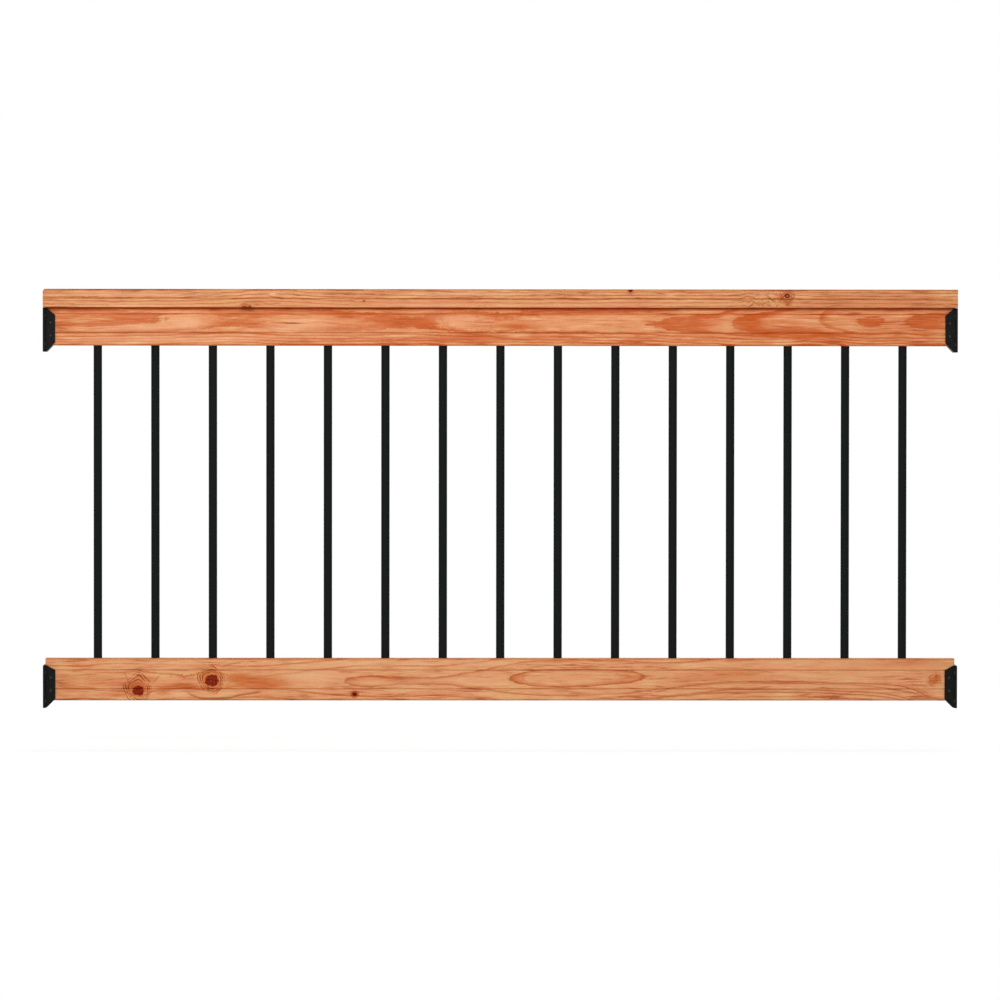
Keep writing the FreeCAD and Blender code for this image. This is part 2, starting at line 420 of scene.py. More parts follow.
def alongCurve(tree, along, points):  # a value that follows given points along a board
    start, length = points[0][0], points[-1][0] - points[0][0]
    low = min(value for place, value in points)
    span = max(value for place, value in points) - low
    node = tree.nodes.new("ShaderNodeFloatCurve")
    curve = node.mapping.curves[0]
    spots = [((place - start) / length, (value - low) / span) for place, value in points]
    curve.points[0].location = spots[0]
    curve.points[1].location = spots[-1]
    for spot in spots[1:-1]:
        curve.points.new(*spot)
    for point in curve.points:
        point.handle_type = "AUTO_CLAMPED"
    node.mapping.update()
    plug(tree, node.inputs["Value"], (along - start) / length)
    return Wire(tree, node.outputs["Value"]) * span + low


# Which of a board's values go to which group, and what its rows hold
ringKeys = ("ringOffset", "pithDepth", "pithHeight", "ringWidth", "wander", "figure", "fibre")
woodKeys = (
    "earlywood", "latewood", "ringLine", "pale", "knotColour", "lateStart", "lateFull", "lineStart",
    "lineStrength", "innerLine", "streaks", "hueDrift", "veeTone", "footTone", "crownTone",
)
swellSockets = ("Centre Along", "Centre Height", "Reach Along", "Reach Height", "Rise")
knotSockets = (
    "Centre Along", "Centre Height", "Radius", "Rings", "Stretch Up", "Dies At", "First Line", "Line Gap",
)


def socketName(key):  # ringOffset to Ring Offset
    return "".join(" " + letter if letter.isupper() else letter for letter in key).title()


# Marks on the boards, in millimetres
markLook = {
    "lineJitter": 3.0, "lineEase": 12.0, "easeShare": 0.3,  # a drawn line fades over its ease at both ends
    "swayShare": 4.0, "warp": {"Warm": 5.0, "Pale": 5.0, "Dark": 0.6}, "crinkleDepth": (4.0, 24.0),
}


def timberMaterial(name, board, low, high):
    material, tree, shader, position = newMaterial(name)
    place = useGroup(tree, boardPlace, {"Position": position, "Front": low.y / mm, "Underside": low.z / mm})
    along, height = place["Along"], place["Height"]

    def steered(value):  # a plain value, or given points along the board
        return alongCurve(tree, along, value) if isinstance(value, list) else value

    def fromBoard(keys):
        return {socketName(key): steered(board[key]) for key in keys}

    def drawn(strokes):  # rows of points, half width and strength, for single lines of the grain
        jitter = grain(tree, place, "jitter") * markLook["lineJitter"]
        total = None
        for points, halfWidth, strength in strokes:
            offset = (height - alongCurve(tree, along, points) + jitter) / halfWidth
            first, last = points[0][0], points[-1][0]
            ease = min(markLook["lineEase"], (last - first) * markLook["easeShare"])
            fade = along.step(first, first + ease) * along.step(last - ease, last).inverted()
            made = (offset * offset * -1.0).do("EXPONENT") * fade * strength
            total = made if total is None else total.do("MAXIMUM", made)
        return total

    def hills(rows, warp=0.0):  # the sum of a table's oval hills
        swayed, lifted = along, height
        if warp:
            swayed = along + grain(tree, place, "sway") * (warp * markLook["swayShare"])
            lifted = height + grain(tree, place, "lift") * warp
        total = None
        for row in rows:
            inputs = {"Along": swayed, "Height": lifted, **dict(zip(swellSockets, row))}
            hill = useGroup(tree, grainSwell, inputs)["Rise"]
            total = hill if total is None else total + hill
        return total

    ring = useGroup(tree, growthRings, {**place, **fromBoard(ringKeys)})["Ring"]
    swells = hills(board["swells"])
    if swells:
        ring = ring + swells
    wild = hills(board["crinkles"])
    if wild:
        shallow = place["Depth"].step(*markLook["crinkleDepth"]).inverted()
        ring = ring + wild * shallow * grain(tree, place, "crinkle")
    masks = {"Core": None, "Halo": None, "Lines": None}
    for row in board["knots"]:
        made = useGroup(tree, knot, {**place, **dict(zip(knotSockets, row))})
        ring = ring + made["Rings"]
        for label, mask in masks.items():
            masks[label] = made[label] if mask is None else mask.do("MAXIMUM", made[label])
    values = {
        **place, **fromBoard(woodKeys), "Ring": ring,
        "Thickness": (high.y - low.y) / mm, "Board Height": (high.z - low.z) / mm,
    }
    painted = {"Knot " + label: mask for label, mask in masks.items()}
    painted["Drawn Lines"] = drawn(board["drawnLines"])
    painted["Calm"] = hills(board["calmMarks"])
    for tint, warp in markLook["warp"].items():
        painted[tint + " Marks"] = hills(board[tint.lower() + "Marks"], warp)
    values.update({label: wire for label, wire in painted.items() if wire})
    wood = useGroup(tree, timberColour, values)
    fill(tree, shader, {
        "Base Color": wood["Color"], "Roughness": wood["Roughness"],
        "Specular IOR Level": timberLook["specular"],
    })
    addRelief(tree, shader, wood["Relief"], board["reliefHeight"] * mm, timberLook["reliefStrength"])
    return material


# Pieces that stand on the CAD shapes: a welded copy with softened edges
copying = {"weld": 0.002, "flatAngle": 0.6, "sharpAngle": 30.0, "cutAngles": (15, 45, 75)}  # mm and degrees


def roundOff(shape, corner, radius):  # rounds a top end corner with a few flat cuts
    centre = corner + Vector((radius, 0.0, -radius))
    for angle in copying["cutAngles"]:
        outward = Vector((-math.cos(math.radians(angle)), 0.0, math.sin(math.radians(angle))))
        whole = shape.verts[:] + shape.edges[:] + shape.faces[:]
        cut = bmesh.ops.bisect_plane(
            shape, geom=whole, plane_co=centre + outward * radius, plane_no=outward, clear_outer=True
        )
        rim = [part for part in cut["geom_cut"] if isinstance(part, bmesh.types.BMEdge)]
        bmesh.ops.contextual_create(shape, geom=rim)


def softenedCopy(nodeName, pieceName, easing, segments, endRadius=0.0):
    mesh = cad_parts[nodeName].data.copy()
    mesh.materials.clear()
    shape = bmesh.new()
    shape.from_mesh(mesh)
    bmesh.ops.remove_doubles(shape, verts=shape.verts, dist=copying["weld"] * mm)
    flat = math.radians(copying["flatAngle"])
    bmesh.ops.dissolve_limit(shape, angle_limit=flat, verts=shape.verts, edges=shape.edges)
    if endRadius:
        low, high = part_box(nodeName)
        roundOff(shape, Vector((low.x, 0.0, high.z)), endRadius * mm)
    for face in shape.faces:
        face.smooth = True
    shape.to_mesh(mesh)
    shape.free()
    sharp = math.radians(copying["sharpAngle"])
    mesh.set_sharp_from_angle(angle=sharp)
    piece = bpy.data.objects.new(pieceName, mesh)
    scene.collection.objects.link(piece)
    bevel = piece.modifiers.new("softEdges", "BEVEL")
    bevel.width = easing * mm
    bevel.segments = segments
    bevel.limit_method = "ANGLE"
    bevel.angle_limit = sharp
    bevel.miter_outer = "MITER_ARC"
    normals = piece.modifiers.new("faceNormals", "WEIGHTED_NORMAL")
    normals.keep_sharp = True
    return applied(piece)


def applied(piece):  # the modifiers' result becomes the piece's own mesh
    graph = bpy.context.evaluated_depsgraph_get()
    finished = bpy.data.meshes.new_from_object(piece.evaluated_get(graph))
    finished.name = piece.name
    piece.modifiers.clear()
    piece.data = finished
    return piece


def dress(piece, material, nodeNames):
    piece.data.materials.clear()
    piece.data.materials.append(material)
    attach(piece, "root")
    if nodeNames:
        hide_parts(*nodeNames)
    print("piece made:", piece.name, len(piece.data.polygons), "faces")


# Boards: places are millimetres along from the left post and up from the board's underside
# Swells, crinkles and marks: centre along, centre height, reach along, reach height, strength
# Knots: centre along, centre height, radius, ring bend, stretch up, depth of its end, first line, line gap
# Drawn lines: points on the line, half width, strength

# Handrail cap: rift-sawn, with near-straight lines and a few small knots
capBoard = {
    "softEdge": 0.5, "segments": 2, "endRadius": 6.0,
    "pithDepth": 60.0, "pithHeight": -110.0, "ringWidth": 6.5, "wander": 4.0, "figure": 0.35, "fibre": 0.5,
    "ringOffset": [
        (0, 0.0), (153, 0.12), (293, 0.0), (393, -0.4), (459, -0.8), (513, -0.5), (613, 0.2), (713, 0.5),
        (913, 0.6), (1153, 0.5), (1313, 0.55), (1433, 0.4), (1513, 0.5), (1713, 0.8), (1829, 0.9),
    ],
    "swells": [(1408, 24, 12, 14, -0.7)],
    "crinkles": [(1442, 18, 34, 40, 4.5), (476, 27, 40, 16, 1.6), (416, 4, 20, 8, 2.0)],
    "knots": [
        (403.0, -1.6, 5.8, -0.4, 1.0, 20.0, 1.2, 0.12), (413.5, 0.8, 2.6, -0.1, 1.0, 14.0, 1.2, 0.12),
        (1173.5, 34.0, 4.4, 0.4, 1.0, 13.0, 1.3, 0.12), (1486.9, 23.6, 5.8, -0.8, 1.0, 17.0, 1.5, 0.5),
        (641.5, 12.8, 1.6, 0.0, 1.0, 9.0, 1.3, 0.12),
    ],
    "drawnLines": [
        ([(396, 11), (420, 12.5), (452, 7), (480, 8.5)], 1.0, 0.7),
        ([(392, 6.5), (418, 8.5), (440, 5)], 0.9, 0.7),
        ([(443, 31), (453, 23.5), (462, 20.5), (488, 16.6)], 1.4, 0.8),
        ([(495, 32), (502, 26), (518, 22.5)], 1.1, 0.7),
        ([(1443, 26), (1454, 18), (1466, 9)], 1.5, 1.0), ([(1470, 11), (1476, 17), (1483, 26)], 1.5, 0.9),
        ([(1417, 20), (1424, 25), (1433, 29)], 1.4, 0.95), ([(1409, 1), (1415, 5), (1422, 10)], 1.4, 0.95),
        ([(1412, 17), (1421, 10), (1438, 4)], 1.2, 0.8), ([(1434, 12), (1444, 8), (1458, 3)], 1.1, 0.6),
    ],
    "calmMarks": [(470, 8, 430, 6.5, 0.75), (1150, 8, 320, 6, 0.6), (1650, 8, 170, 6, 0.4)],
    "warmMarks": [
        (1480, 17, 12, 9, 1.9), (1490, 11, 7, 7, 1.6), (406, 0.5, 16, 3.5, 0.8), (640, 8, 26, 5, 0.5),
        (1664, 26, 170, 6, 0.4), (980, 5, 40, 3, 0.5), (1690, 8, 200, 10, 0.55), (495, 27, 25, 5, 0.4),
        (890, 9, 60, 4, 0.4),
    ],
    "darkMarks": [
        (1487, 6.5, 4.0, 3.0, 0.5), (413, 1.5, 10.0, 2.0, 0.3), (428, 4.5, 6.0, 1.6, 0.5),
        (1490, 11, 3.5, 4.5, 0.2), (1487, 23.6, 4.6, 3.6, 0.5), (1173.5, 34, 4, 3, 0.5),
    ],
    "paleMarks": [
        # (190, 2.5, ...) and (870, 2.5, ...) are painted highlight along the cap's lower rounded edge
        (460.5, 26.8, 9.0, 4.0, 0.9), (1436, 24, 9, 5, 0.5), (190, 2.5, 150, 3.5, 0.5),
        (870, 2.5, 330, 3.5, 0.5), (190, 26, 170, 4, 0.6), (850, 27, 80, 5, 0.45),
        (1488.5, 23.8, 1.9, 1.2, 0.8), (1421, 24, 5, 2.5, 0.6), (1452, 25, 5, 3, 0.5),
    ],
    "earlywood": srgb(224, 154, 106), "latewood": srgb(206, 116, 68), "ringLine": srgb(156, 88, 40),
    "pale": srgb(240, 180, 134), "knotColour": srgb(150, 40, 8),
    "lateStart": 0.5, "lateFull": 0.95, "lineStart": 0.8, "innerLine": 0.25,
    "lineStrength": [(0, 1.0), (1393, 0.85), (1420, 1.1), (1480, 1.1), (1510, 0.85), (1829, 1.0)],
    # the vee, foot and crown values are painted shade: in the vee lines, on the rounded bottom edge and on
    # the rounded top edge
    "streaks": 1.15, "hueDrift": 1.0, "veeTone": 0.18, "footTone": 0.0, "crownTone": 0.3,
    "reliefHeight": 0.15,
}
# Top rail: flat-sawn, broad orange flames with one sharp side
topBoard = {
    "softEdge": 0.4, "segments": 2, "endRadius": 0.0,
    "pithDepth": 70.0, "ringWidth": 6.2, "wander": 1.2, "figure": 0.3, "fibre": 0.3,
    "pithHeight": [
        (0, 56.5), (250, 56.5), (513, 49.5), (913, 45.5), (1207, 44.7), (1293, 41.5), (1403, 44.5),
        (1493, 49.5), (1557, 54.5), (1657, 48.5), (1829, 50.5),
    ],
    "ringOffset": [
        (0, 0.6), (60, 0.55), (171, 0.78), (240, 0.95), (256, 1.01), (313, 1.3), (403, 1.7), (463, 1.48),
        (523, 1.36), (593, 1.46), (673, 1.66), (729, 1.84), (793, 1.6), (853, 1.38), (913, 1.52),
        (973, 1.34), (1113, 1.15), (1193, 1.03), (1213, 0.97), (1267, 0.7), (1313, 0.56), (1341, 0.42),
        (1361, 0.2), (1377, 0.0), (1389, -0.2), (1405, -0.32), (1433, -0.5), (1493, -0.75), (1541, -0.93),
        (1551, -1.0), (1567, -1.4), (1597, -1.75), (1623, -2.0), (1655, -2.15), (1687, -2.0), (1707, -1.88),
        (1723, -2.0), (1763, -2.3), (1829, -2.4),
    ],
    "swells": [(915, 0, 3000, 17, 2.2)],
    "crinkles": [(900, 40, 260, 40, 1.0), (330, 40, 120, 30, 0.5), (1340, 44, 60, 24, 0.5)],
    "knots": [], "calmMarks": [],
    "drawnLines": [
        ([(640, 11), (700, 13), (760, 11.5), (830, 10)], 1.0, 0.5),
        ([(872, 24), (905, 18), (960, 12), (1010, 9)], 1.2, 0.5),
        ([(448, 46.4), (480, 45.6), (516, 44.8)], 0.9, 1.0),
    ],
    "warmMarks": [
        (45, 55, 26, 9, 0.7), (378, 44, 80, 13, 0.4), (724, 46, 36, 12, 0.55), (913, 16, 120, 9, 0.75),
        (945, 38, 44, 7, 1.1), (733, 62, 64, 8, 0.6), (1680, 12, 70, 8, 0.45), (1302, 42, 46, 16, 0.8),
        (1412, 46, 30, 15, 1.3), (1525, 22, 90, 7, 0.8), (1655, 48.5, 26, 9, 0.9), (1775, 48, 50, 14, 0.85),
        # (915, 75.5, ...) is painted shadow under the cap's overhang, in late-wood colour
        (915, 75.5, 2500, 3.5, 1.0), (1310, 12, 60, 8, 0.6), (1500, 50, 60, 9, 0.3), (1480, 25, 60, 9, 1.0),
        (1545, 24, 60, 6, 0.6), (1590, 43, 40, 6, 0.35), (1680, 33, 50, 5, 0.4),
    ],
    "darkMarks": [
        # (915, 76.5, ...) is painted shadow under the cap, darkest at the joint
        (496, 45.1, 20, 0.9, 1.6), (733, 53.5, 30, 1.4, 0.4), (915, 76.5, 2500, 4.7, 0.78),
        (408, 71.5, 16, 4.5, 0.6),
    ],
    "paleMarks": [
        (292, 46, 36, 13, 0.8), (520, 42, 60, 14, 0.5), (845, 48, 44, 12, 0.4), (950, 21, 22, 4, 0.8),
        (195, 36, 90, 9, 0.6), (620, 24, 100, 12, 0.3), (370, 13, 100, 8, 0.4), (470, 33, 40, 5, 0.5),
        (800, 57, 40, 8, 0.35), (200, 58, 80, 4, 0.25), (1085, 45, 110, 14, 0.25), (1365, 40, 18, 14, 0.3),
        (170, 12, 140, 9, 0.4), (230, 67, 200, 3, 0.4),
    ],
    "earlywood": srgb(223, 147, 98), "latewood": srgb(200, 93, 38), "ringLine": srgb(176, 80, 32),
    "pale": srgb(240, 180, 136), "knotColour": srgb(150, 40, 8),
    "lateStart": 0.42, "lateFull": 0.8, "lineStart": 0.9, "lineStrength": 0.35, "innerLine": 0.0,
    # the vee, foot and crown values are painted shade: in the vee lines, on the rounded bottom edge and on
    # the rounded top edge
    "streaks": 1.12, "hueDrift": 0.8, "veeTone": 0.18, "footTone": 0.2, "crownTone": 0.2,
    "reliefHeight": 0.15,
}
# Bottom rail: flat-sawn and paler, with thin ring lines, long loops and two tight knots
bottomBoard = {
    "softEdge": 0.4, "segments": 2, "endRadius": 0.0,
    "pithDepth": 30.0, "ringWidth": 12.0, "wander": 1.6, "figure": 0.12, "fibre": 0.14,
    "pithHeight": [
        (0, 36), (193, 38), (513, 38), (600, 39), (793, 40), (929, 43.8), (1193, 48), (1313, 56),
        (1473, 64), (1613, 61), (1829, 60),
    ],
    "ringOffset": [
        (0, 1.6), (73, 1.7), (133, 1.5), (243, 1.6), (293, 1.75), (393, 1.85), (473, 1.65), (553, 1.22),
        (600, 1.0), (617, 0.9), (663, 0.82), (733, 0.89), (785, 0.89), (839, 0.7), (875, 0.55), (913, 0.15),
        (929, 0.0), (961, -0.22), (1003, -0.4), (1057, -0.45), (1125, -0.34), (1175, -0.2), (1200, -0.06),
        (1213, 0.01), (1240, 0.14), (1313, 0.26), (1473, 0.12), (1613, 0.14), (1829, 0.2),
    ],
    "swells": [(1829, 0, 110, 30, -2.4)],
    "crinkles": [(264, 40, 150, 40, 0.5), (1400, 60, 60, 12, 0.6), (1787, 42, 24, 20, 0.9)],
    "drawnLines": [
        ([(284, 19), (302, 9), (330, 3.5), (360, 4.5), (395, 11), (440, 18)], 2.2, 0.85),
        ([(168, 32), (180, 43), (196, 50), (208, 44), (217, 33)], 1.6, 0.65),
        ([(161, 58), (166, 47), (172, 35)], 3.0, 0.55),
        ([(217, 33), (226, 43), (235, 52)], 2.0, 0.55), ([(349, 59), (354, 53), (360, 46)], 2.0, 0.65),
        ([(1767, 41), (1776, 49), (1787, 55)], 1.3, 0.7), ([(1767, 40), (1776, 33), (1788, 27)], 1.3, 0.6),
        ([(1786, 55), (1791, 51), (1797, 43)], 1.3, 0.6), ([(1779, 43), (1786, 39), (1796, 42)], 1.0, 0.6),
        ([(352, 66), (380, 74), (402, 78)], 2.2, 0.5), ([(250, 62), (276, 60), (296, 64)], 1.0, 0.5),
        ([(1280, 60), (1340, 66), (1420, 62), (1470, 55)], 1.2, 0.4),
        ([(1221, 17), (1271, 26), (1321, 32.5), (1421, 35.5), (1588, 32.5), (1655, 29), (1705, 22.5),
          (1785, 2)], 1.2, 0.6),
        ([(1221, 5), (1288, 11), (1338, 15), (1455, 17.5), (1588, 14.5), (1655, 10.5),
          (1728, 1)], 1.5, 0.7),
        ([(1681, 24), (1721, 19.5), (1755, 13), (1785, 1)], 1.2, 0.6),
    ],
    "knots": [
        (189.9, 19.8, 12.0, -0.8, 0.85, 120.0, 1.55, 0.36),
        (336.9, 40.2, 14.2, -0.7, 1.0, 120.0, 1.25, 0.3),
        (622.9, 12.4, 5.0, 0.1, 1.0, 14.0, 1.3, 0.12),
    ],
    "warmMarks": [
        (46, 22, 30, 16, 0.5), (240, 17, 16, 6, 0.9), (275, 29, 34, 7, 1.1), (434, 36, 66, 13, 1.5),
        (668, 40, 58, 8, 0.1), (1180, 48, 26, 4, 0.8), (1390, 56, 50, 7, 0.5), (1790, 46, 8, 7, 1.3),
        (1783, 39, 9, 8, 1.2), (392, 50, 22, 9, 0.7), (150, 32, 40, 5, 0.4), (100, 44, 80, 14, 0.4),
        (1370, 44, 110, 12, 0.45), (1360, 12, 90, 8, 0.35), (1730, 74, 90, 7, 0.5), (205, 42, 22, 9, 0.5),
        (150, 12, 30, 6, 0.5),
    ],
    "calmMarks": [
        (540, 46, 70, 14, 0.5), (880, 42, 60, 10, 0.4), (1080, 48, 80, 10, 0.4), (1640, 64, 190, 18, 0.6),
    ],
    "darkMarks": [
        (587.0, 0.0, 12.0, 2.0, 0.6), (622.9, 12.4, 5.0, 4.5, 1.0), (1776, 43, 2.5, 6.0, 0.4),
        (1788, 48, 2.0, 6.0, 0.35), (1797, 40, 2.0, 8.0, 0.35), (1788, 35, 6.0, 1.6, 0.3),
    ],
    "paleMarks": [
        (530, 48, 60, 14, 0.7), (268, 11, 22, 7, 0.6), (860, 42, 50, 12, 0.45), (775, 40, 55, 6, 0.45),
        (700, 34, 50, 6, 0.4), (250, 74, 70, 5, 0.45), (640, 74, 90, 6, 0.5), (880, 74, 90, 6, 0.4),
        (640, 36, 40, 5, 0.4), (870, 12, 40, 5, 0.4),
    ],
    "earlywood": srgb(226, 158, 110), "latewood": srgb(207, 112, 60), "ringLine": srgb(170, 88, 42),
    "pale": srgb(232, 178, 132), "knotColour": srgb(156, 42, 8),
    "lateStart": 0.72, "lateFull": 0.96, "lineStart": 0.89, "innerLine": 0.3,
    "lineStrength": [(0, 0.3), (500, 0.35), (600, 0.7), (1150, 0.7), (1300, 0.9), (1829, 0.9)],
    # the vee, foot and crown values are painted shade: in the vee lines, on the rounded bottom edge and on
    # the rounded top edge
    "streaks": 1.15, "hueDrift": 0.9, "veeTone": 0.15, "footTone": 0.2, "crownTone": 0.2,
    "reliefHeight": 0.15,
}
for nodeName, pieceName, board in (
    ("handrail_cap", "handrailCap", capBoard),
    ("top_rail", "topRail", topBoard),
    ("bottom_rail", "bottomRail", bottomBoard),
):
    plank = softenedCopy(nodeName, pieceName, board["softEdge"], board["segments"], board["endRadius"])
    dress(plank, timberMaterial(pieceName + "Timber", board, *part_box(nodeName)), [nodeName])


# Coats for the metal
def coatMaterial(name, coat):
    material, tree, shader, position = newMaterial(name)
    made = useGroup(tree, sprayedCoat, {
        "Position": position, "Coat": coat["colour"], "Speck": coat["speckColour"],
        "Pimple Size": coat["pimpleSize"], "Specks": coat["specks"], "Gloss": coat["roughness"],
    })
    fill(tree, shader, {
        "Base Color": made["Color"], "Roughness": made["Roughness"], "Specular IOR Level": coat["specular"],
    })
    addRelief(tree, shader, made["Relief"], coat["reliefHeight"] * mm, coatLook["reliefStrength"])
    return material


tubeCoat = {
    "colour": srgb(25, 28, 27), "speckColour": srgb(44, 46, 44), "pimpleSize": 0.6, "specks": 0.15,
    "roughness": 0.5, "specular": 0.02, "reliefHeight": 0.02,
}
castCoat = {
    "colour": srgb(19, 20, 18), "speckColour": srgb(84, 88, 82), "pimpleSize": 0.9, "specks": 0.7,
    "roughness": 0.5, "specular": 0.06, "reliefHeight": 0.12,
}
screwCoat = {
    "colour": srgb(34, 36, 34), "speckColour": srgb(84, 84, 76), "pimpleSize": 0.9, "specks": 0.3,
    "roughness": 0.4, "specular": 0.2, "reliefHeight": 0.02,
}
tubeFinish = coatMaterial("tubeCoat", tubeCoat)
bracketFinish = coatMaterial("bracketCoat", castCoat)
screwFinish = coatMaterial("screwCoat", screwCoat)


# Geometry Nodes helpers
def newGeometryTree(name, inputs):  # inputs: socket name to a value; a length is in metres
    tree = bpy.data.node_groups.new(name, "GeometryNodeTree")
    tree.interface.new_socket("Geometry", in_out="INPUT", socket_type="NodeSocketGeometry")
    for label, sample in inputs.items():
        whole = isinstance(sample, int)
        kind = "NodeSocketInt" if whole else "NodeSocketMaterial" if sample is None else "NodeSocketFloat"
        tree.interface.new_socket(label, in_out="INPUT", socket_type=kind)
    tree.interface.new_socket("Geometry", in_out="OUTPUT", socket_type="NodeSocketGeometry")
    start = tree.nodes.new("NodeGroupInput")
    return tree, {socket.name: Wire(tree, socket) for socket in start.outputs if socket.name}


def endTree(tree, geometry, material):  # every tree ends in Realize Instances and Set Material
    realized = addNode(tree, "GeometryNodeRealizeInstances", {0: geometry})
    painted = addNode(tree, "GeometryNodeSetMaterial", {"Geometry": realized, "Material": material})
    end = tree.nodes.new("NodeGroupOutput")
    plug(tree, end.inputs[0], painted)


def smoothed(tree, geometry, sharpAngle):  # smooth faces, with the corners kept sharp
    kind = "GeometryNodeSetShadeSmooth"
    faces = addNode(tree, kind, {0: geometry, "Shade Smooth": True}, domain="FACE")
    angle = addNode(tree, "GeometryNodeInputMeshEdgeAngle", {}, "Unsigned Angle")
    corner = angle.do("GREATER_THAN", math.radians(sharpAngle))
    return addNode(tree, kind, {0: faces, "Selection": corner, "Shade Smooth": False}, domain="EDGE")


def grown(pieceName, points, tree, values):  # runs a tree on a cloud of points and keeps the plain mesh
    mesh = bpy.data.meshes.new(pieceName)
    mesh.from_pydata([place for place, outward in points], [], [])
    facing = mesh.attributes.new("outward", "FLOAT_VECTOR", "POINT")
    for spot, (place, outward) in zip(facing.data, points):
        spot.vector = outward
    piece = bpy.data.objects.new(pieceName, mesh)
    scene.collection.objects.link(piece)
    modifier = piece.modifiers.new(tree.name, "NODES")
    modifier.node_group = tree
    for socket in tree.interface.items_tree:
        if socket.in_out == "INPUT" and socket.name in values:
            modifier[socket.identifier] = values[socket.name]
    return applied(piece)


# Balusters: round tubes, all alike, on an even pitch
balusters = {"count": 15, "wall": 1.3, "sides": 64, "sharpAngle": 30.0}


def makeBalusterRow():
    tree, given = newGeometryTree("balusterRow", {
        "Diameter": 0.0, "Wall": 0.0, "Length": 0.0, "Sides": 0, "Finish": None,
    })
    ring = addNode(tree, "GeometryNodeCurvePrimitiveCircle", {
        "Resolution": given["Sides"], "Radius": (given["Diameter"] - given["Wall"]) * 0.5,
    }, mode="RADIUS")
    section = addNode(tree, "GeometryNodeCurvePrimitiveQuadrilateral", {
        "Width": given["Wall"], "Height": given["Length"],
    }, mode="RECTANGLE")
    tube = addNode(tree, "GeometryNodeCurveToMesh", {"Curve": ring, "Profile Curve": section})
    raised = addNode(tree, "GeometryNodeTransform", {
        0: smoothed(tree, tube, balusters["sharpAngle"]),
        "Translation": combined(tree, 0.0, 0.0, given["Length"] * 0.5),
    })
    row = addNode(tree, "GeometryNodeInstanceOnPoints", {"Points": given["Geometry"], "Instance": raised})
    endTree(tree, row, given["Finish"])
    return tree


tubeNodes = [f"baluster_{i + 1:02d}" for i in range(balusters["count"])]
tubeBoxes = [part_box(nodeName) for nodeName in tubeNodes]
tubeFeet = [(((low.x + high.x) / 2, 0.0, low.z), (0.0, 0.0, 1.0)) for low, high in tubeBoxes]
tubeLow, tubeHigh = tubeBoxes[0]
tubes = grown("balusterRow", tubeFeet, makeBalusterRow(), {
    "Diameter": tubeHigh.y - tubeLow.y, "Wall": balusters["wall"] * mm, "Length": tubeHigh.z - tubeLow.z,
    "Sides": balusters["sides"], "Finish": tubeFinish,
})
dress(tubes, tubeFinish, tubeNodes)


# Brackets: cast, with soft edges under the coat
bracketPiece = {"softEdge": 0.8, "segments": 3}
for level in ("lower", "upper"):
    for side in ("left", "right"):
        nodeName = f"bracket_{level}_{side}"
        casting = softenedCopy(nodeName, f"bracket{level.title()}{side.title()}",
                               bracketPiece["softEdge"], bracketPiece["segments"])
        dress(casting, bracketFinish, [nodeName])


# Screws: pan heads with a cross recess, on the cheeks and in the post plates' wings
screws = {
    "headDiameter": 7.6, "headHeight": 2.4, "recessWidth": 1.1, "recessLength": 4.4, "recessDepth": 1.3,
    "fromPost": 14.0, "railHeights": (20.0, 46.0), "cheekFace": 21.5,
    "plateFace": 4.0, "wingMiddle": 28.5, "postSpacing": 56.0, "turnSeed": 4,
    "segments": 32, "rings": 16, "sharpAngle": 35.0,
}


def makeScrews():
    tree, given = newGeometryTree("crossScrews", {
        "Head Diameter": 0.0, "Head Height": 0.0, "Recess Width": 0.0, "Recess Length": 0.0,
        "Recess Depth": 0.0, "Seed": 0, "Finish": None,
    })
    ball = addNode(tree, "GeometryNodeMeshUVSphere", {
        "Segments": screws["segments"], "Rings": screws["rings"], "Radius": 1.0,
    })
    radius = given["Head Diameter"] * 0.5
    dome = addNode(tree, "GeometryNodeTransform", {
        0: ball, "Scale": combined(tree, radius, radius, given["Head Height"]),
    })
    slots = tree.nodes.new("GeometryNodeJoinGeometry")
    for long, wide in (("Recess Length", "Recess Width"), ("Recess Width", "Recess Length")):
        bar = addNode(tree, "GeometryNodeMeshCube", {
            "Size": combined(tree, given[long], given[wide], given["Recess Depth"] * 2.0),
        })
        placed = addNode(tree, "GeometryNodeTransform", {
            0: bar, "Translation": combined(tree, 0.0, 0.0, given["Head Height"]),
        })
        plug(tree, slots.inputs[0], placed)
    cut = addNode(tree, "GeometryNodeMeshBoolean", {
        "Mesh 1": dome, "Mesh 2": Wire(tree, slots.outputs[0]), "Self Intersection": True,
    }, operation="DIFFERENCE", solver="EXACT")

    outward = addNode(tree, "GeometryNodeInputNamedAttribute", {
        "Name": "outward",
    }, data_type="FLOAT_VECTOR")
    facing = addNode(tree, "FunctionNodeAlignRotationToVector", {"Vector": outward}, axis="Z")
    turnInputs = {"Seed": given["Seed"], 3: math.pi / 2}  # up to a quarter turn
    turn = addNode(tree, "FunctionNodeRandomValue", turnInputs, 1, data_type="FLOAT")
    spun = addNode(tree, "FunctionNodeRotateRotation", {
        "Rotation": facing, "Rotate By": combined(tree, 0.0, 0.0, turn),
    }, rotation_space="LOCAL")
    heads = addNode(tree, "GeometryNodeInstanceOnPoints", {
        "Points": given["Geometry"], "Rotation": spun,
        "Instance": smoothed(tree, cut, screws["sharpAngle"]),
    })
    endTree(tree, heads, given["Finish"])
    return tree


